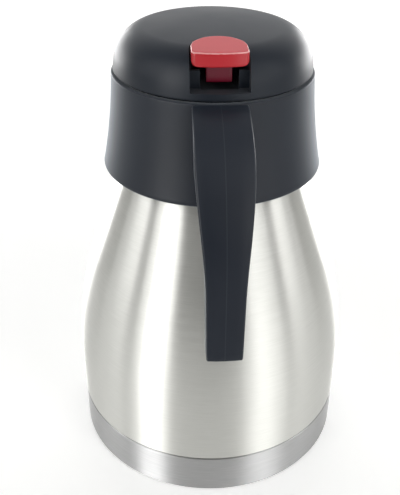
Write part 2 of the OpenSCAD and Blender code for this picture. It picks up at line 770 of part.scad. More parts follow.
module lid_screws() {
    color("#c7c8c6") at_lid_screws() translate([0, 0, lid_deck_z]) {
        cylinder(r = lid_screw_r, h = lid_deck_t + lid_screw_l);
        translate([0, 0, -lid_screw_head_t]) difference() {
            cylinder(r = lid_screw_head_r, h = lid_screw_head_t);
            cross_slot(lid_screw_head_r);
        }
    }
}

// Dome with the pocket for the thumb lever, the well round it and four screw bosses
module lid_dome() {
    wall_low_z = pocket_floor_z - pocket_floor_t;
    guide_w = (pocket_w - slot_w) / 2 + guide_sink;
    guide_x = (slot_w + guide_w) / 2;
    color("#33363c") difference() {
        union() {
            rotate_extrude() polygon(concat(dome_line(0), reversed(dome_line(dome_wall))));
            intersection() {
                dome_solid(0.6);
                union() {
                    difference() {
                        translate([0, 0, wall_low_z]) linear_extrude(height = dome_h)
                            pad_outline(pad_gap + pocket_wall);
                        translate([0, 0, wall_low_z - 1]) linear_extrude(height = dome_h + 2)
                            pad_outline(pad_gap);
                    }
                    // Floor in front of the lever and the two guides beside its stem
                    translate([-pocket_w / 2 - 1, -dome_r, wall_low_z])
                        cube([pocket_w + 2, dome_r + guide_y + pocket_wall, pocket_floor_t]);
                    for (side = [-1, 1]) translate([side * guide_x - guide_w / 2, guide_y, wall_low_z])
                        cube([guide_w, pocket_wall, guide_top_z - wall_low_z]);
                    at_lid_screws() translate([0, 0, dome_z]) cylinder(r = lid_boss_r, h = dome_h);
                }
            }
        }
        translate([0, 0, guide_top_z]) linear_extrude(height = dome_h) pad_outline(pad_gap);
        translate([0, 0, pocket_floor_z]) linear_extrude(height = dome_h) difference() {
            pad_outline(pad_gap);
            for (side = [-1, 1]) translate([side * guide_x, guide_y + pocket_wall / 2])
                square([guide_w, pocket_wall], center = true);
        }
        // Slot for the stem and the arm through the floor and the well
        translate([-slot_w / 2, slot_front_y, dome_z - 1])
            cube([slot_w, -slot_front_y, arm_z + arm_t + pocket_wall - dome_z + 1]);
        at_lid_screws() translate([0, 0, dome_z - 1]) cylinder(r = lid_screw_r + bore_gap, h = lid_screw_l + 2);
    }
}

// Red thumb pad, hollow below and notched for the two guides, with its stem and the arm to the pin
module thumb_lever() {
    top_side = [
        [-pad_front - 1, pad_front_z - pad_h], [-pad_front - 1, pad_front_z - 0.05],
        [pad_back_c + pad_w / 2 + 1, pad_back_z], [pad_back_c + pad_w / 2 + 1, pad_front_z - pad_h]
    ];
    arm_side = [
        [stem_front_y, stem_z], [stem_front_y, pad_front_z - pad_skin],
        [stem_front_y + stem_t, pad_front_z - pad_skin], [stem_front_y + stem_t, arm_z + arm_t + 0.6],
        [stem_front_y + stem_t + 3, arm_z + arm_t], [pin_y, arm_z + arm_t], [pin_y, arm_z],
        [stem_front_y + stem_t + 1, arm_z], [stem_front_y + stem_t, stem_z]
    ];
    color("#b9343c") difference() {
        union() {
            difference() {
                intersection() {
                    linear_extrude(height = 2 * mouth_z) pad_outline(0);
                    cylinder(r = pad_front, h = 2 * mouth_z);
                    rotate([90, 0, 90]) translate([0, 0, -pad_w]) linear_extrude(height = 2 * pad_w)
                        polygon(top_side);
                }
                intersection() {
                    linear_extrude(height = pad_front_z - pad_skin) pad_outline(-pad_skin);
                    cylinder(r = pad_front - pad_skin, h = 2 * mouth_z);
                }
                translate([-pad_w, guide_y + (pocket_wall - notch_w) / 2, pad_front_z - 2 * pad_h])
                    cube([2 * pad_w, notch_w, 2 * pad_h - pad_skin]);
            }
            rotate([90, 0, 90]) translate([0, 0, -arm_w / 2]) linear_extrude(height = arm_w)
                polygon(arm_side);
            translate([-arm_w / 2, pin_y, pin_z]) rotate([0, 90, 0]) cylinder(r = hub_r, h = arm_w);
            translate([-arm_w / 2, 0, arm_z]) rotate([0, 90, 0]) cylinder(r = nose_bump_r, h = arm_w);
        }
        translate([-arm_w, pin_y, pin_z]) rotate([0, 90, 0]) cylinder(r = pin_r + bore_gap, h = 2 * arm_w);
    }
}

module valve_rod() {
    color("#b7b8b6") {
        translate([0, 0, disc_z]) cylinder(r = rod_r, h = cap_z - disc_z);
        translate([0, 0, disc_z - rod_flange_t]) cylinder(r = rod_r + 2, h = rod_flange_t);
        translate([0, 0, cap_z - eps]) cylinder(r = rod_r - 1, h = cap_t + eps);
    }
}

module rod_cap() {
    color("#4a4c50") translate([0, 0, cap_z]) difference() {
        cylinder(r = cap_r, h = cap_t);
        translate([0, 0, -1]) cylinder(r = rod_r - 1 + bore_gap, h = cap_t + 2);
    }
}

module valve_disc() {
    color("#3a3c40") translate([0, 0, disc_z]) difference() {
        cylinder(r = disc_r, h = disc_t);
        translate([0, 0, -1]) cylinder(r = rod_r + bore_gap, h = disc_t + 2);
    }
}

module valve_seal() {
    color("#dcdcd6") translate([0, 0, disc_z + disc_t]) difference() {
        cylinder(r = disc_r - 0.3, h = seal_h);
        translate([0, 0, -1]) cylinder(r = port_r - 2, h = seal_h + 2);
    }
}

// Compression spring between the rod seal and the cap, its ends laid flat against both
spring_low = lid_deck_z - well_drop + rod_seal_t + wire_r + bore_gap;
spring_high = cap_z - wire_r - bore_gap;
function spring_point(i, n) = turned(spring_r, 360 * spring_turns * i / n, mix(spring_low, spring_high, i / n));
echo(least_gap_between_curls = (spring_high - spring_low) / spring_turns - 2 * wire_r);
module valve_spring() {
    n = spring_turns * 16;
    color("#c9cac8") skin([
        for (i = [0 : n]) let (
            a = 360 * spring_turns * i / n,
            z = mix(spring_low, spring_high, i / n)
        ) [for (j = [0 : 5]) turned(spring_r + wire_r * cos(60 * j), a, z + wire_r * sin(60 * j))]
    ]);
}

outer_shell();
inner_liner();
vacuum_base_plate();
getter();
base_cup();
collar();
neck_ring();
neck_seal();
handle();
handle_inner_cover();
handle_screws();
stopper_gasket();
stopper_body();
valve_seat();
rod_seal();
lever_pin();
lid_screws();
lid_dome();
thumb_lever();
valve_rod();
rod_cap();
valve_disc();
valve_seal();
valve_spring();
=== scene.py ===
from math import atan, atan2, cos, degrees, pi, radians, sin, sqrt

import bpy
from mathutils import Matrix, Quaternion, Vector


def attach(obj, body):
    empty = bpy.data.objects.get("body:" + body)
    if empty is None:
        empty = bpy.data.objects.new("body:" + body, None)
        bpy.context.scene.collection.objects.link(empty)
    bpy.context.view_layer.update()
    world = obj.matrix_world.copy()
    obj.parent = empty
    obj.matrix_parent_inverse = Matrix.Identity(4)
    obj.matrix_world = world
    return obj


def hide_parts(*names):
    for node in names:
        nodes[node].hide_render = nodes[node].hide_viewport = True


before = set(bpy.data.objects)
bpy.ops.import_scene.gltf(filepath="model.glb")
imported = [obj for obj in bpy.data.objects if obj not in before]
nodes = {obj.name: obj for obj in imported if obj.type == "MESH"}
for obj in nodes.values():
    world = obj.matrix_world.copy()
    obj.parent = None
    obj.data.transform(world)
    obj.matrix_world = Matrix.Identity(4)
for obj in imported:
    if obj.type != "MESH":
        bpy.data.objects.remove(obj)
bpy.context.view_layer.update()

MM = 0.001

# Inner liner: the deep-drawn stainless flask that holds the drink, welded to the outer shell at
# the mouth. It keeps its drawn finish, so it is smoother than the outside, with faint rings
# left by the drawing and spinning.


def place(tree, kind, inputs=None, **settings):
    """Adds a shader node. inputs gives each socket a value or another node's output."""
    node = tree.nodes.new("ShaderNode" + kind)
    for name, value in settings.items():
        setattr(node, name, value)
    for socket, value in (inputs or {}).items():
        if isinstance(value, bpy.types.NodeSocket):
            tree.links.new(value, node.inputs[socket])
        else:
            node.inputs[socket].default_value = value
    return node


def sum_of(tree, operation, *values):
    """Output of a math node."""
    return place(tree, "Math", dict(enumerate(values)), operation=operation).outputs[0]


def new_finish(name, colour, rough, metal=0.0):
    """A material with its shader at plain values; returns it with its tree and shader."""
    material = bpy.data.materials.new(name)
    material.use_nodes = True
    tree = material.node_tree
    shader = tree.nodes["Principled BSDF"]
    shader.inputs["Base Color"].default_value = (*colour, 1)
    shader.inputs["Roughness"].default_value = rough
    shader.inputs["Metallic"].default_value = metal
    return material, tree, shader


def dress(node, material):
    """Gives a CAD node its finish."""
    nodes[node].data.materials.clear()
    nodes[node].data.materials.append(material)


def make_ring_lines():
    """Shader group: fine lines that run round the vertical axis, as brushing and turning leave."""
    tree = bpy.data.node_groups.new("ring_lines", "ShaderNodeTree")
    for name, value in (("Lines per metre", 2500.0), ("Breaks around", 5.0)):
        tree.interface.new_socket(name, in_out="INPUT", socket_type="NodeSocketFloat").default_value = value
    tree.interface.new_socket("Fine", in_out="OUTPUT", socket_type="NodeSocketFloat")
    tree.interface.new_socket("Broad", in_out="OUTPUT", socket_type="NodeSocketFloat")
    given = tree.nodes.new("NodeGroupInput")
    result = tree.nodes.new("NodeGroupOutput")
    where = place(tree, "SeparateXYZ", {0: place(tree, "TexCoord").outputs["Object"]})
    x, y, z = where.outputs
    squared = sum_of(tree, "ADD", sum_of(tree, "MULTIPLY", x, x), sum_of(tree, "MULTIPLY", y, y))
    radius = sum_of(tree, "MAXIMUM", sum_of(tree, "SQRT", squared), 0.001)
    along = [sum_of(tree, "MULTIPLY", sum_of(tree, "DIVIDE", value, radius), given.outputs["Breaks around"])
             for value in (x, y)]
    for output, share in (("Fine", 1.0), ("Broad", 0.13)):
        height = sum_of(tree, "MULTIPLY", sum_of(tree, "ADD", z, sum_of(tree, "MULTIPLY", radius, 0.7)),
                        sum_of(tree, "MULTIPLY", given.outputs["Lines per metre"], share))
        spot = place(tree, "CombineXYZ", {0: along[0], 1: along[1], 2: height}).outputs[0]
        noise = place(tree, "TexNoise", {"Vector": spot, "Scale": 1.0, "Detail": 2.0, "Roughness": 0.6})
        tree.links.new(noise.outputs["Fac"], result.inputs[output])
    return tree


ring_lines = make_ring_lines()


def ring_finish(name, dark, light, rough, lines, relief, anisotropy):
    """Metal with lines round the axis: its colour, gloss and relief change from line to line."""
    material, tree, shader = new_finish(name, light, rough[0], 1.0)
    group = place(tree, "Group", node_tree=ring_lines)
    group.inputs["Lines per metre"].default_value = lines
    broad = sum_of(tree, "MULTIPLY", group.outputs["Broad"], 0.15)
    both = sum_of(tree, "ADD", sum_of(tree, "MULTIPLY", group.outputs["Fine"], 0.85), broad)
    spread = place(tree, "MapRange", {"Value": both, "From Min": 0.35, "From Max": 0.65}).outputs[0]
    tint = place(tree, "Mix", {"Factor": spread, 6: (*dark, 1), 7: (*light, 1)}, data_type="RGBA")
    tree.links.new(tint.outputs[2], shader.inputs["Base Color"])
    gloss = place(tree, "MapRange", {"Value": spread, "To Min": rough[0], "To Max": rough[1]})
    tree.links.new(gloss.outputs[0], shader.inputs["Roughness"])
    bump = place(tree, "Bump", {"Height": group.outputs["Fine"], "Distance": relief * MM, "Strength": 1.0})
    tree.links.new(bump.outputs[0], shader.inputs["Normal"])
    shader.inputs["Anisotropic"].default_value = anisotropy
    shader.inputs["Anisotropic Rotation"].default_value = 0.25
    tangent = place(tree, "Tangent", direction_type="RADIAL", axis="Z")
    tree.links.new(tangent.outputs[0], shader.inputs["Tangent"])
    return material


dress("inner_liner", ring_finish("drawn_liner_steel", (0.60, 0.60, 0.58), (0.68, 0.68, 0.66),
                                 (0.24, 0.30), 900, 0.002, 0.4))

# Bottom of the vacuum space: the pressed plate that is welded in last, with its sealed pump-out
# point, and the getter tablet that takes up stray gas. Both are hidden once the cup is on.

dress("vacuum_base_plate", ring_finish("pressed_plate_steel", (0.45, 0.45, 0.44), (0.55, 0.55, 0.53),
                                       (0.30, 0.42), 700, 0.004, 0.3))


def speckled_finish(name, dark, light, rough, grains, relief, metal=0.0):
    """Finish with small grains in its colour and relief, as sintered metal or rubber has."""
    material, tree, shader = new_finish(name, light, rough, metal)
    spot = place(tree, "TexCoord").outputs["Object"]
    noise = place(tree, "TexNoise", {"Vector": spot, "Scale": grains, "Detail": 3.0})
    tint = place(tree, "Mix", {"Factor": noise.outputs["Fac"], 6: (*dark, 1), 7: (*light, 1)}, data_type="RGBA")
    tree.links.new(tint.outputs[2], shader.inputs["Base Color"])
    bump = place(tree, "Bump", {"Height": noise.outputs["Fac"], "Distance": relief * MM, "Strength": 1.0})
    tree.links.new(bump.outputs[0], shader.inputs["Normal"])
    return material


dress("getter", speckled_finish("sintered_getter", (0.16, 0.16, 0.16), (0.30, 0.30, 0.30), 0.7, 2200, 0.03, 0.6))

# Outer shell: the drawn stainless body with a fine satin brushing that runs round it. The lines
# stretch every reflection up and down, which gives the long upright streaks.

dress("outer_shell", ring_finish("brushed_body_steel", (0.58, 0.58, 0.55), (0.62, 0.62, 0.59),
                                 (0.30, 0.32), 3200, 0.002, 1.0))

# Foot cup: a separate stainless cup pressed over the lower end of the shell. Its brushing is
# coarser and it looks darker than the body.

dress("base_cup", ring_finish("brushed_foot_steel", (0.40, 0.40, 0.40), (0.46, 0.46, 0.46),
                              (0.32, 0.35), 2000, 0.003, 1.0))

# Neck seal: the flat silicone ring between the steel mouth and the neck ring.

silicone = speckled_finish("silicone_rubber", (0.62, 0.62, 0.59), (0.72, 0.72, 0.69), 0.5, 900, 0.004)
silicone.node_tree.nodes["Principled BSDF"].inputs["Subsurface Weight"].default_value = 0.2
silicone.node_tree.nodes["Principled BSDF"].inputs["Subsurface Scale"].default_value = 0.002
dress("neck_seal", silicone)

# Collar: the flared black moulding that covers the steel shoulder and carries handle and spout.
# It is moulded in one piece with a fine matt texture. The neck ring clamps it down, and the
# spout's trough runs through its rim.


def moulded_grain():
    """Shader group: the fine spark-eroded texture of a moulding tool, with faint broad unevenness."""
    tree = bpy.data.node_groups.new("moulded_grain", "ShaderNodeTree")
    tree.interface.new_socket("Grains per metre", in_out="INPUT", socket_type="NodeSocketFloat").default_value = 3000.0
    tree.interface.new_socket("Height", in_out="OUTPUT", socket_type="NodeSocketFloat")
    tree.interface.new_socket("Cloud", in_out="OUTPUT", socket_type="NodeSocketFloat")
    given = tree.nodes.new("NodeGroupInput")
    result = tree.nodes.new("NodeGroupOutput")
    spot = place(tree, "TexCoord").outputs["Object"]
    grain = place(tree, "TexNoise", {"Vector": spot, "Scale": given.outputs[0], "Detail": 2.0})
    cloud = place(tree, "TexNoise", {"Vector": spot, "Scale": 38.0, "Detail": 3.0})
    tree.links.new(grain.outputs["Fac"], result.inputs["Height"])
    tree.links.new(cloud.outputs["Fac"], result.inputs["Cloud"])
    return tree


grain_group = moulded_grain()


def moulded_finish(name, colour, rough, grains, relief, edge=0.4):
    """Moulded plastic: fine grain, slightly uneven gloss, and softly broken edges."""
    material, tree, shader = new_finish(name, colour, rough[0])
    group = place(tree, "Group", node_tree=grain_group)
    group.inputs[0].default_value = grains
    gloss = place(tree, "MapRange", {"Value": group.outputs["Cloud"], "From Min": 0.3, "From Max": 0.7,
                                     "To Min": rough[0], "To Max": rough[1]})
    tree.links.new(gloss.outputs[0], shader.inputs["Roughness"])
    lighter = tuple(value * 1.25 for value in colour)
    tint = place(tree, "Mix", {"Factor": group.outputs["Cloud"], 6: (*colour, 1), 7: (*lighter, 1)}, data_type="RGBA")
    tree.links.new(tint.outputs[2], shader.inputs["Base Color"])
    soft = place(tree, "Bevel", {"Radius": edge * MM}, samples=6)
    bump = place(tree, "Bump", {"Height": group.outputs["Height"], "Distance": relief * MM,
                                "Strength": 1.0, "Normal": soft.outputs[0]})
    tree.links.new(bump.outputs[0], shader.inputs["Normal"])
    return material


def open_piece(name):
    """Starts an empty mesh in edit mode, at the origin."""
    bpy.ops.object.select_all(action="DESELECT")
    bpy.ops.mesh.primitive_plane_add(size=MM)
    piece = bpy.context.object
    piece.name = name
    bpy.ops.object.mode_set(mode="EDIT")
    bpy.ops.mesh.delete(type="VERT")
    return piece


def draw(points):
    """Draws a line in edit mode by extruding a vertex from point to point, in mm."""
    bpy.ops.mesh.select_all(action="DESELECT")
    bpy.ops.mesh.primitive_plane_add(size=MM, location=Vector(points[0]) * MM)
    bpy.ops.mesh.merge(type="CENTER")
    for start, end in zip(points, points[1:]):
        step = (Vector(end) - Vector(start)) * MM
        bpy.ops.mesh.extrude_region_move(TRANSFORM_OT_translate={"value": step})


def close_piece():
    """Merges doubles, turns all faces outwards and leaves edit mode."""
    bpy.ops.mesh.select_all(action="SELECT")
    bpy.ops.mesh.remove_doubles(threshold=0.001 * MM)
    bpy.ops.mesh.normals_make_consistent(inside=False)
    bpy.ops.object.mode_set(mode="OBJECT")


def arc(centre, radius, start, end, count):
    """Points on an arc; the angles are in degrees."""
    return [(centre[0] + radius * cos(radians(start + (end - start) * i / count)),
             centre[1] + radius * sin(radians(start + (end - start) * i / count))) for i in range(count + 1)]


def turned(name, outline, steps=144):
    """A closed outline of (radius, height) points in mm, spun round the carafe's axis."""
    piece = open_piece(name)
    draw([(r, 0, z) for r, z in outline + outline[:1]])
    bpy.ops.mesh.select_all(action="SELECT")
    bpy.ops.mesh.spin(steps=steps, angle=2 * pi, center=(0, 0, 0), axis=(0, 0, 1))
    close_piece()
    return piece


def bridged(name, rings):
    """A solid bar through closed rings of points in mm."""
    piece = open_piece(name)
    for ring in rings:
        draw(ring + ring[:1])
    bpy.ops.mesh.select_all(action="SELECT")
    bpy.ops.mesh.remove_doubles(threshold=0.001 * MM)
    bpy.ops.mesh.bridge_edge_loops()
    bpy.ops.mesh.select_all(action="DESELECT")
    bpy.ops.mesh.select_non_manifold()
    bpy.ops.mesh.edge_face_add()
    close_piece()
    return piece


def upright(name, outline, low, high):
    """A prism: an outline of (x, y) points in mm, extruded from one height to another."""
    piece = open_piece(name)
    draw([(x, y, low) for x, y in outline + outline[:1]])
    bpy.ops.mesh.select_all(action="SELECT")
    bpy.ops.mesh.remove_doubles(threshold=0.001 * MM)
    bpy.ops.mesh.edge_face_add()
    bpy.ops.mesh.extrude_region_move(TRANSFORM_OT_translate={"value": (0, 0, (high - low) * MM)})
    close_piece()
    return piece


def finish_with(piece, kind, **settings):
    """Adds one modifier to a piece and applies it."""
    bpy.ops.object.select_all(action="DESELECT")
    bpy.context.view_layer.objects.active = piece
    piece.select_set(True)
    step = piece.modifiers.new(kind.lower(), kind)
    for name, value in settings.items():
        setattr(step, name, value)
    bpy.ops.object.modifier_apply(modifier=step.name)


def combine(piece, tool, operation):
    """Joins (UNION), cuts (DIFFERENCE) or crosses (INTERSECT) a piece with another, which is used up."""
    finish_with(piece, "BOOLEAN", operation=operation, object=tool, solver="EXACT")
    bpy.data.objects.remove(tool)


def install(piece, node, body, material, smooth=35):
    """Gives a finished piece its shading and finish, and puts it in its CAD node's place."""
    bpy.ops.object.select_all(action="DESELECT")
    bpy.context.view_layer.objects.active = piece
    piece.select_set(True)
    bpy.ops.object.shade_smooth_by_angle(angle=radians(smooth))
    piece.data.materials.clear()
    piece.data.materials.append(material)
    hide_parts(node)
    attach(piece, body)


RIM_Z = 199.6
COLLAR_R = 46.2
COLLAR_BORE_R = 43.3
COLLAR_Z = 155.2
COLLAR_LOW_R = 51.9
COLLAR_WALL = 2.4
TOP_FLARE = 2.5
low_flare = 2 * degrees(atan((COLLAR_LOW_R - COLLAR_R) / (RIM_Z - COLLAR_Z))) - TOP_FLARE
flare_r = (RIM_Z - COLLAR_Z) / (sin(radians(low_flare)) - sin(radians(TOP_FLARE)))
flare_c = (COLLAR_R + flare_r * cos(radians(TOP_FLARE)), RIM_Z + flare_r * sin(radians(TOP_FLARE)))


def flare(inset, low, high, count):
    """Points up the flared side, moved inwards by inset."""
    heights = [low + (high - low) * i / count for i in range(count + 1)]
    return [(flare_c[0] - sqrt((flare_r + inset) ** 2 - (flare_c[1] - z) ** 2), z) for z in heights]


LEDGE_Z = 190.5
LIP_R = 44.95
collar_outline = (
    [(LIP_R, COLLAR_Z)]
    + arc((COLLAR_LOW_R - 1.35, COLLAR_Z + 1.2), 1.2, -90, -8, 5)
    + flare(0, COLLAR_Z + 2.2, RIM_Z - 0.4, 20)
    + arc((COLLAR_R - 0.3, RIM_Z - 0.3), 0.3, 5, 90, 4)
    + arc((COLLAR_BORE_R + 0.4, RIM_Z - 0.4), 0.4, 90, 180, 3)
    + [(COLLAR_BORE_R, LEDGE_Z), (COLLAR_BORE_R - 2, LEDGE_Z), (COLLAR_BORE_R - 2, LEDGE_Z - 2)]
    + flare(COLLAR_WALL, LEDGE_Z - 4, COLLAR_Z + 1.7, 10)
    + [(LIP_R, COLLAR_Z + 1.7)]
)
collar = turned("collar_moulding", collar_outline, 180)
SPOUT_ROOT_Y = COLLAR_BORE_R - 1
SPOUT_TIP_Y = 63.6


def bowl(half_w, top, low, squareness, count=20):
    """Half of a rounded section, from its right top corner under the bottom to the left one."""
    points = []
    for i in range(count + 1):
        a = pi * i / count
        side = abs(cos(a)) ** (2 / squareness) * (1 if cos(a) > 0 else -1)
        points.append((half_w * side, top - (top - low) * abs(sin(a)) ** (2 / squareness)))
    return points


def spout_half_w(t):
    """Half width of the beak at t, from 0 at the bore to 1 at the tip."""
    return (7.5 + 9.5 * (1 - t) ** 1.5) * sqrt(1 - 0.75 * max(0, (t - 0.8) / 0.2) ** 2)


beak_rings = []
trough_rings = []
for i in range(25):
    t = i / 24
    y = SPOUT_ROOT_Y + (SPOUT_TIP_Y - SPOUT_ROOT_Y) * t
    lip = RIM_Z - 1.6 * max(0, 2 * t - 1) ** 2
    low = RIM_Z - 24 + 17.6 * t ** 0.8
    beak_rings.append([(x, y, z) for x, z in bowl(spout_half_w(t), lip, low, 2.3)])
for i in range(-6, 29):
    t = i / 24
    y = SPOUT_ROOT_Y + (SPOUT_TIP_Y - SPOUT_ROOT_Y) * t
    half_w = spout_half_w(min(1, max(0, t))) - 2 + 0.8 * min(1, max(0, t))
    section = bowl(half_w, RIM_Z, 193 + 2.2 * max(0, t) ** 2, 4)
    trough_rings.append([(x, y, z) for x, z in [(half_w, RIM_Z + 8)] + section + [(-half_w, RIM_Z + 8)]])
beak = bridged("beak", beak_rings)
core = turned("core", [(0, COLLAR_Z), (COLLAR_BORE_R + 0.8, COLLAR_Z), (COLLAR_BORE_R + 0.8, RIM_Z + 1), (0, RIM_Z + 1)])
combine(beak, core, "DIFFERENCE")
combine(collar, beak, "UNION")
combine(collar, bridged("trough", trough_rings), "DIFFERENCE")
black = moulded_finish("black_moulded_plastic", (0.0065, 0.0105, 0.0190), (0.38, 0.44), 2600, 0.008, 0.2)
black.node_tree.nodes["Principled BSDF"].inputs["Specular IOR Level"].default_value = 0.2
black.node_tree.nodes["Principled BSDF"].inputs["Sheen Weight"].default_value = 1.0
black.node_tree.nodes["Principled BSDF"].inputs["Sheen Tint"].default_value = (0.84, 0.91, 1.0, 1)
black.node_tree.nodes["Principled BSDF"].inputs["Sheen Roughness"].default_value = 0.35
install(collar, "collar", "carafe", black, 40)

# Neck ring: the threaded ring that snaps over the steel bead and clamps the collar down.

dress("neck_ring", black)

# Handle: a hollow black moulding, fixed at its top only and open towards the body. It is broad at
# the collar and narrow at its free end, with a slightly crowned face and small rounded edges.

HANDLE_R = 90.0
HANDLE_END_Z = 102.5
GRIP_T = 11.0
GRIP_BEND_R = 80.3
GRIP_BEND_Z = 134.0
SHOULDER_BEND_R = 42.0
BLEND_ANGLE = 52.1
INNER_BEND_R = 26.0
shoulder_c = (46.5 - SHOULDER_BEND_R * sin(radians(9)), 199.0 - SHOULDER_BEND_R * cos(radians(9)))
grip_c = (HANDLE_R - GRIP_BEND_R, GRIP_BEND_Z)
inner_c = (HANDLE_R - GRIP_T - INNER_BEND_R, GRIP_BEND_Z + 10)


def handle_w(z):
    """The grip widens slowly upwards, swells where it bends and narrows a little at the root."""
    t = min(1, max(0, (z - GRIP_BEND_Z) / 53))
    return 15.7 + 0.025 * (z - HANDLE_END_Z) + 6.35 * t * t * (3 - 2 * t) - 0.085 * max(0, z - 187)


def handle_pairs(start, stop, bends=30, grips=8):
    """Pairs of outer and inner points (distance from the axis, height) along the handle."""
    pairs = []
    for i in range(bends + 1):
        s = start + (1 - start) * i / bends
        a = 9 + 81 * s
        centre, radius = (shoulder_c, SHOULDER_BEND_R) if a < BLEND_ANGLE else (grip_c, GRIP_BEND_R)
        outer = (centre[0] + radius * sin(radians(a)), centre[1] + radius * cos(radians(a)))
        b = radians(90 * s ** 1.6)
        pairs.append((outer, (inner_c[0] + INNER_BEND_R * sin(b), inner_c[1] + INNER_BEND_R * cos(b))))
    for i in range(1, grips + 1):
        low = HANDLE_END_Z + stop
        pairs.append(((HANDLE_R, grip_c[1] + (low - grip_c[1]) * i / grips),
                      (HANDLE_R - GRIP_T, inner_c[1] + (low - inner_c[1]) * i / grips)))
    return pairs


def handle_ring(pair, side_in, outer_in, inner_in, crown):
    """Ring of points round a pair, drawn in at the sides and at both faces, with a crowned outer face."""
    (oy, oz), (iy, iz) = pair
    depth = sqrt((oy - iy) ** 2 + (oz - iz) ** 2)
    across = ((iy - oy) / depth, (iz - oz) / depth)
    w_out, w_in = handle_w(oz) / 2 - side_in, handle_w(iz) / 2 - side_in
    ring = []
    for share, w, sink, swell in ((-1, w_out, outer_in, 0), (-0.5, w_out, outer_in, 0.75), (0, w_out, outer_in, 1),
                                  (0.5, w_out, outer_in, 0.75), (1, w_out, outer_in, 0),
                                  (1, w_in, depth - inner_in, 0), (0, w_in, depth - inner_in, 0),
                                  (-1, w_in, depth - inner_in, 0)):
        d = sink - crown * swell
        ring.append((share * w, -(oy + across[0] * d), oz + across[1] * d))
    return ring


root = ((44.3, 199.35), (45.6, 170.0))
pairs = [root] + handle_pairs(0, 0)
handle = bridged("handle_grip", [handle_ring(pair, 0, 0, 0, 0.4) for pair in pairs])
finish_with(handle, "BEVEL", width=0.9 * MM, segments=3, limit_method="ANGLE", angle_limit=radians(50))
hollow = bridged("hollow", [handle_ring(pair, 2.6, 2.6, -3, 0) for pair in handle_pairs(0.4, 2.6)])
combine(handle, hollow, "DIFFERENCE")
grip_black = black.copy()
grip_black.name = "black_grip_plastic"
grip_black.node_tree.nodes["Principled BSDF"].inputs["Sheen Weight"].default_value = 0.3
tree = grip_black.node_tree
across = place(tree, "SeparateXYZ", {0: place(tree, "TexCoord").outputs["Object"]}).outputs[0]
on_line = place(tree, "MapRange", {"Value": sum_of(tree, "ABSOLUTE", across), "From Min": 0.26 * MM,
                                   "From Max": 0.10 * MM}).outputs[0]
plain = tree.nodes["Principled BSDF"].inputs["Base Color"].links[0].from_socket
line_tint = place(tree, "Mix", {"Factor": on_line, 6: plain, 7: (0.020, 0.026, 0.036, 1)}, data_type="RGBA")
tree.links.new(line_tint.outputs[2], tree.nodes["Principled BSDF"].inputs["Base Color"])
install(handle, "handle", "carafe", grip_black, 35)

# Inner cover: the flush strip that closes the handle's hollow side, clipped in from the body side.

cover_rings = []
for pair in handle_pairs(0.41, 2.7):
    depth = sqrt((pair[0][0] - pair[1][0]) ** 2 + (pair[0][1] - pair[1][1]) ** 2)
    cover_rings.append(handle_ring(pair, 2.7, depth - 2.2, 0, 0))
cover = bridged("handle_cover", cover_rings)
finish_with(cover, "BEVEL", width=0.35 * MM, segments=2, limit_method="ANGLE", angle_limit=radians(50))
install(cover, "handle_inner_cover", "carafe", black, 35)


def turned_finish(name, colour, rough):
    """Plain turned or drawn stainless of small parts."""
    material, tree, shader = new_finish(name, colour, rough, 1.0)
    spot = place(tree, "TexCoord").outputs["Object"]
    noise = place(tree, "TexNoise", {"Vector": spot, "Scale": 1500.0, "Detail": 2.0})
    gloss = place(tree, "MapRange", {"Value": noise.outputs["Fac"], "To Min": rough - 0.06, "To Max": rough + 0.1})
    tree.links.new(gloss.outputs[0], shader.inputs["Roughness"])
    bump = place(tree, "Bump", {"Height": noise.outputs["Fac"], "Distance": 0.004 * MM, "Strength": 1.0})
    tree.links.new(bump.outputs[0], shader.inputs["Normal"])
    return material


screw_steel = turned_finish("screw_steel", (0.60, 0.60, 0.59), 0.3)
dress("handle_screws", screw_steel)

# Stopper: the gasket, the threaded body, the valve seat and the small parts in it.

dress("stopper_gasket", silicone)
dress("stopper_body", black)
dress("valve_seat", black)
dress("rod_seal", silicone)
dress("lever_pin", screw_steel)
dress("lid_screws", screw_steel)

# Lid dome: the black moulding screwed on the stopper's deck, with the pocket for the thumb lever,
# the two guides beside the lever's stem and the slot that the stem dips through.

DOME_R = 45.4
DOME_Z = 200.1
DOME_TOP = 221.0
DRAFT = 7.0
SHOULDER_R = 15.6
CROWN_R = 280.0
POCKET_FLOOR_Z = 203.6
SEAM_LIFT = 0.6
side_n = (cos(radians(DRAFT)), sin(radians(DRAFT)))
off = DOME_R * side_n[0] + DOME_Z * side_n[1] - SHOULDER_R
low_c = (side_n[0] * off, side_n[1] * off - (DOME_TOP - CROWN_R))
along = -low_c[0] * side_n[1] + low_c[1] * side_n[0]
rest = low_c[0] ** 2 + low_c[1] ** 2 - (CROWN_R - SHOULDER_R) ** 2
slide = sqrt(along ** 2 - rest) - along
dome_c = (side_n[0] * off - side_n[1] * slide, side_n[1] * off + side_n[0] * slide)
crown_end = degrees(atan2(dome_c[1] - (DOME_TOP - CROWN_R), dome_c[0]))


def dome_line(inset, edge):
    """Side outline of the dome from its lower edge, rounded by edge, to the top of its crown."""
    low_r = DOME_R - inset / cos(radians(DRAFT))
    start = [(low_r, DOME_Z)]
    if edge:
        start = arc((low_r - edge * 1.1, DOME_Z + SEAM_LIFT + edge), edge, -90, DRAFT, 4)
    return (start + arc(dome_c, SHOULDER_R - inset, DRAFT, crown_end, 28)
            + arc((0, DOME_TOP - CROWN_R), CROWN_R - inset, crown_end, 90, 8)[1:])


def pad_outline(grow, front):
    """Outline of the thumb pad from above: straight sides, a round back and the front at -front."""
    r = 11.7 + grow
    return [(-r, -front)] + [(r, -front)] + arc((0, -33.4), r, 0, 180, 32)


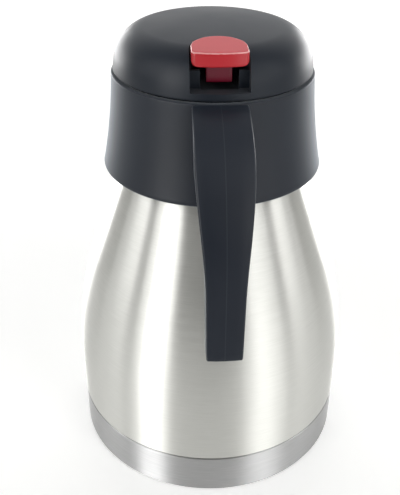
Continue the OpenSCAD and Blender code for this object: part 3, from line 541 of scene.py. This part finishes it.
dome = turned("lid_dome_moulding", dome_line(0, 0.5) + dome_line(2.2, 0)[::-1], 180)
well = upright("well", pad_outline(0.65 + 1.6, 48), POCKET_FLOOR_Z - 1.6, 224)
combine(well, turned("dome_space", [(0, DOME_Z)] + dome_line(0.4, 0), 180), "INTERSECT")
combine(dome, well, "UNION")
combine(dome, upright("pocket", pad_outline(0.65, 50), POCKET_FLOOR_Z, 226), "DIFFERENCE")
for side in (-1, 1):
    guide = [(side * 8, -37.4), (side * 12.6, -37.4), (side * 12.6, -35.8), (side * 8, -35.8)]
    combine(dome, upright("guide", guide, POCKET_FLOOR_Z - 1, 211.1), "UNION")
combine(dome, upright("slot", [(-8, -39.2), (8, -39.2), (8, 0), (-8, 0)], DOME_Z + 1, 211.6), "DIFFERENCE")
dome_black = moulded_finish("black_dome_plastic", (0.006, 0.0105, 0.0185), (0.38, 0.44), 2600, 0.008, 0.2)
dome_black.node_tree.nodes["Principled BSDF"].inputs["Specular IOR Level"].default_value = 0.15
dome_black.node_tree.nodes["Principled BSDF"].inputs["Sheen Weight"].default_value = 0.12
install(dome, "lid_dome", "lid", dome_black, 35)

# Thumb lever: one red moulding. The hollow pad sits in the dome's pocket, its stem goes down
# through the slot, and the arm runs back to the pin at the spout side and rests on the rod's cap.

PAD_FRONT = 42.4
PAD_LOW_Z = 213.65
pad_plan = (arc((0, -33.4), 11.7, 0, 180, 36) + arc((-9.7, -39.22), 2, 180, 256.1, 6)
            + arc((0, 0), PAD_FRONT, 256.1, 283.9, 14)[1:-1] + arc((9.7, -39.22), 2, 283.9, 360, 6))
pad = upright("thumb_lever_moulding", pad_plan, PAD_LOW_Z, 224)
bpy.ops.object.mode_set(mode="EDIT")
bpy.ops.mesh.select_all(action="SELECT")
bpy.ops.mesh.bisect(plane_co=(0, -PAD_FRONT * MM, 219.65 * MM), plane_no=(0, -0.0507, 1), use_fill=True, clear_outer=True)
bpy.ops.object.mode_set(mode="OBJECT")
corner_r = 2.6
face = ([(-11.8, 224), (-11.8, PAD_LOW_Z + corner_r)] + arc((-11.8 + corner_r, PAD_LOW_Z + corner_r), corner_r, 180, 270, 6)
        + arc((11.8 - corner_r, PAD_LOW_Z + corner_r), corner_r, 270, 360, 6) + [(11.8, 224)])
block = open_piece("block")
draw([(x, -46, z) for x, z in face + face[:1]])
bpy.ops.mesh.select_all(action="SELECT")
bpy.ops.mesh.remove_doubles(threshold=0.001 * MM)
bpy.ops.mesh.edge_face_add()
bpy.ops.mesh.extrude_region_move(TRANSFORM_OT_translate={"value": (0, 30 * MM, 0)})
close_piece()
combine(pad, block, "INTERSECT")
inner_front = degrees(atan2(9.9, sqrt(40.6 ** 2 - 9.9 ** 2)))
inner_plan = (arc((0, -33.4), 9.9, 0, 180, 32)
              + [(40.6 * sin(radians(a)), -40.6 * cos(radians(a)))
                 for a in [-inner_front + 2 * inner_front * i / 12 for i in range(13)]])
combine(pad, upright("pad_hollow", inner_plan, 205, 217.85), "DIFFERENCE")
notch = [(-14, -38.4), (14, -38.4), (14, -34.8), (-14, -34.8)]
combine(pad, upright("pad_notch", notch, 205, 217.85), "DIFFERENCE")


def sideways(name, outline, half_w):
    """A bar: an outline of (y, z) points in mm, as wide as twice half_w along x."""
    piece = open_piece(name)
    draw([(-half_w, y, z) for y, z in outline + outline[:1]])
    bpy.ops.mesh.select_all(action="SELECT")
    bpy.ops.mesh.remove_doubles(threshold=0.001 * MM)
    bpy.ops.mesh.edge_face_add()
    bpy.ops.mesh.extrude_region_move(TRANSFORM_OT_translate={"value": (2 * half_w * MM, 0, 0)})
    close_piece()
    return piece


arm_side = [(-35, 205.1), (-35, 218.2), (-31, 218.2), (-31, 210.6), (-28, 210), (28, 210), (28, 206), (-30, 206),
            (-31, 205.1)]
combine(pad, sideways("lever_arm", arm_side, 5.5), "UNION")
combine(pad, sideways("lever_hub", arc((28, 207.5), 4, 0, 348, 29), 5.5), "UNION")
combine(pad, sideways("lever_nose", arc((0, 206), 1.5, 0, 345, 23), 5.5), "UNION")
finish_with(pad, "REMESH", mode="VOXEL", voxel_size=0.27 * MM)
finish_with(pad, "SMOOTH", factor=0.5, iterations=24)
combine(pad, sideways("pin_bore", arc((28, 207.5), 1.55, 0, 348, 29), 8), "DIFFERENCE")
red = moulded_finish("red_glossy_plastic", (0.54, 0.020, 0.030), (0.20, 0.24), 3000, 0.002, 0.7)
tree = red.node_tree
# Everything below the pad's lower edge (the stem, arm and hub) is drawn in a much darker red: painted shade of the
# dome's pocket under the pad.
height = place(tree, "SeparateXYZ", {0: place(tree, "TexCoord").outputs["Object"]}).outputs[2]
painted_stem_shade = place(tree, "MapRange", {"Value": height, "From Min": (PAD_LOW_Z + 0.1) * MM,
                                   "From Max": (PAD_LOW_Z - 0.3) * MM}).outputs[0]
# Where the surface faces partly upwards, as on the pad's rounded upper edges, it is drawn in a pale red: a painted
# highlight.
facing_up = place(tree, "SeparateXYZ", {0: place(tree, "TexCoord").outputs["Normal"]}).outputs[2]
above = place(tree, "MapRange", {"Value": facing_up, "From Min": 0.15, "From Max": 0.40}).outputs[0]
below = place(tree, "MapRange", {"Value": facing_up, "From Min": 0.97, "From Max": 0.90}).outputs[0]
painted_edge_highlight = sum_of(tree, "MULTIPLY", above, below)
plain = tree.nodes["Principled BSDF"].inputs["Base Color"].links[0].from_socket
pad_colour_with_highlight = place(tree, "Mix", {"Factor": painted_edge_highlight, 6: plain, 7: (0.95, 0.42, 0.42, 1)}, data_type="RGBA").outputs[2]
stem_shade_mix = place(tree, "Mix", {"Factor": painted_stem_shade, 6: pad_colour_with_highlight, 7: (0.22, 0.012, 0.034, 1)}, data_type="RGBA")
tree.links.new(stem_shade_mix.outputs[2], tree.nodes["Principled BSDF"].inputs["Base Color"])
red.node_tree.nodes["Principled BSDF"].inputs["Specular IOR Level"].default_value = 0.32
install(pad, "thumb_lever", "lever", red, 60)

# Valve

grey = moulded_finish("grey_moulded_plastic", (0.06, 0.063, 0.068), (0.42, 0.5), 2600, 0.01)
dress("valve_rod", screw_steel)
dress("rod_cap", grey)
dress("valve_disc", grey)
dress("valve_seal", silicone)
dress("valve_spring", turned_finish("spring_wire_steel", (0.64, 0.64, 0.63), 0.28))

# Floor

bpy.ops.object.select_all(action="DESELECT")
bpy.ops.mesh.primitive_plane_add(size=40.0, location=(0, 0, 0))
floor = bpy.context.object
floor.name = "floor"
material, tree, shader = new_finish("pale_floor", (0.90, 0.90, 0.89), 0.6)
path = place(tree, "LightPath")
seen = sum_of(tree, "MAXIMUM", path.outputs["Is Camera Ray"],
              sum_of(tree, "MAXIMUM", path.outputs["Is Glossy Ray"], path.outputs["Is Transmission Ray"]))
away = place(tree, "VectorMath", {0: place(tree, "TexCoord").outputs["Object"]}, operation="LENGTH").outputs["Value"]
glow = place(tree, "MapRange", {"Value": away, "From Min": 0.5, "From Max": 1.4, "To Min": 0.27, "To Max": 0.52}).outputs[0]
tree.links.new(sum_of(tree, "MULTIPLY", seen, glow), shader.inputs["Emission Strength"])
shader.inputs["Emission Color"].default_value = (1, 1, 1, 1)
shader.inputs["Specular IOR Level"].default_value = 0.1
floor.data.materials.append(material)

# World

world = bpy.data.worlds.new("studio")
bpy.context.scene.world = world
world.use_nodes = True
tree = world.node_tree
background = tree.nodes["Background"]
path = place(tree, "LightPath")
seen = sum_of(tree, "MAXIMUM", path.outputs["Is Camera Ray"],
              sum_of(tree, "MAXIMUM", path.outputs["Is Glossy Ray"], path.outputs["Is Transmission Ray"]))
level = place(tree, "MapRange", {"Value": seen, "To Min": 0.55, "To Max": 1.0})
background.inputs["Color"].default_value = (1, 1, 1, 1)
tree.links.new(level.outputs[0], background.inputs["Strength"])


def card(name, turn, width, height, low, away, grey):
    """A grey card that stands round the object, unseen by the camera, and darkens its reflections."""
    bpy.ops.object.select_all(action="DESELECT")
    bpy.ops.mesh.primitive_plane_add(size=1.0, location=(0, 0, 0))
    sheet = bpy.context.object
    sheet.name = name
    a = radians(turn)
    sheet.scale = (width, height, 1)
    sheet.rotation_euler = (pi / 2, 0, a)
    sheet.location = (away * sin(a), -away * cos(a), low + height / 2)
    material, tree, shader = new_finish(name + "_paper", (grey, grey, grey * 0.97), 0.9)
    sheet.data.materials.append(material)
    sheet.visible_camera = False


def panel(name, turn, width, height, low, away, level, sheen, lean=0):
    """A soft upright panel that faces the object: level is how bright it is as a lamp, sheen as a reflection."""
    for part, bright in (("lamp", level), ("sheen", sheen)):
        lamp = bpy.data.lights.new(name + "_" + part, "AREA")
        lamp.shape = "RECTANGLE"
        lamp.size, lamp.size_y = width, height
        lamp.energy = bright * 4 * width * height
        box = bpy.data.objects.new(name + "_" + part, lamp)
        bpy.context.scene.collection.objects.link(box)
        a = radians(turn)
        box.location = (away * sin(a), -away * cos(a), low + height / 2)
        box.rotation_euler = (pi / 2, radians(lean), a)
        box.visible_camera = False
        if part == "lamp":
            box.visible_glossy = False
        else:
            box.visible_diffuse = False


VIEW_TURN = -4.2
card("front_card", VIEW_TURN, 1.12, 1.3, 0.0, 0.9, 0.14)
panel("left_panel", VIEW_TURN - 46.5, 0.33, 1.2, 0.0, 0.9, 1.35, 9.5, -8)
panel("right_panel", VIEW_TURN + 44, 0.42, 1.2, 0.0, 0.9, 1.35, 9.0)
card("left_card", VIEW_TURN - 65, 0.15, 1.3, 0.0, 0.95, 0.10)
card("right_card", VIEW_TURN + 63, 0.15, 1.3, 0.0, 0.95, 0.10)
panel("left_edge_panel", VIEW_TURN - 79, 0.28, 1.0, 0.3, 0.9, 0.0, 1.8)
panel("right_edge_panel", VIEW_TURN + 78, 0.23, 1.0, 0.3, 0.9, 0.0, 1.8)
card("left_back_card", VIEW_TURN - 107, 0.36, 1.3, 0.0, 0.95, 0.5)
card("right_back_card", VIEW_TURN + 107, 0.42, 1.3, 0.0, 0.95, 0.5)
panel("left_rear_panel", VIEW_TURN - 140, 0.70, 0.35, 0.0, 0.9, 0.0, 6.0)
panel("right_rear_panel", VIEW_TURN + 140, 0.70, 0.35, 0.0, 0.9, 0.0, 6.0)

back = bpy.data.lights.new("back_lamp", "AREA")
back.shape = "RECTANGLE"
back.size, back.size_y = 1.0, 0.8
back.energy = 1.25 * 4 * back.size * back.size_y
back_box = bpy.data.objects.new("back_lamp", back)
bpy.context.scene.collection.objects.link(back_box)
back_box.location = (0.06, 0.8, 0.95)
back_box.rotation_euler = (radians(-40), 0, 0)
back_box.visible_camera = False
back_box.visible_glossy = False

# Camera

camera_data = bpy.data.cameras.new("camera")
camera = bpy.data.objects.new("camera", camera_data)
bpy.context.scene.collection.objects.link(camera)
bpy.context.scene.camera = camera
camera_data.lens = 54.47
camera_data.shift_x = -0.0216
camera_data.clip_start = 0.01
distance = 332.3 * MM
camera.location = (-distance * sin(radians(4.2)), -distance * cos(radians(4.2)), 310.9 * MM)
aim = (Vector((0, 0, 103.2 * MM)) - camera.location).to_track_quat("-Z", "Y")
camera.rotation_mode = "QUATERNION"
camera.rotation_quaternion = aim @ Quaternion((0, 0, 1), radians(0.73))

bpy.context.scene.view_settings.view_transform = "Standard"
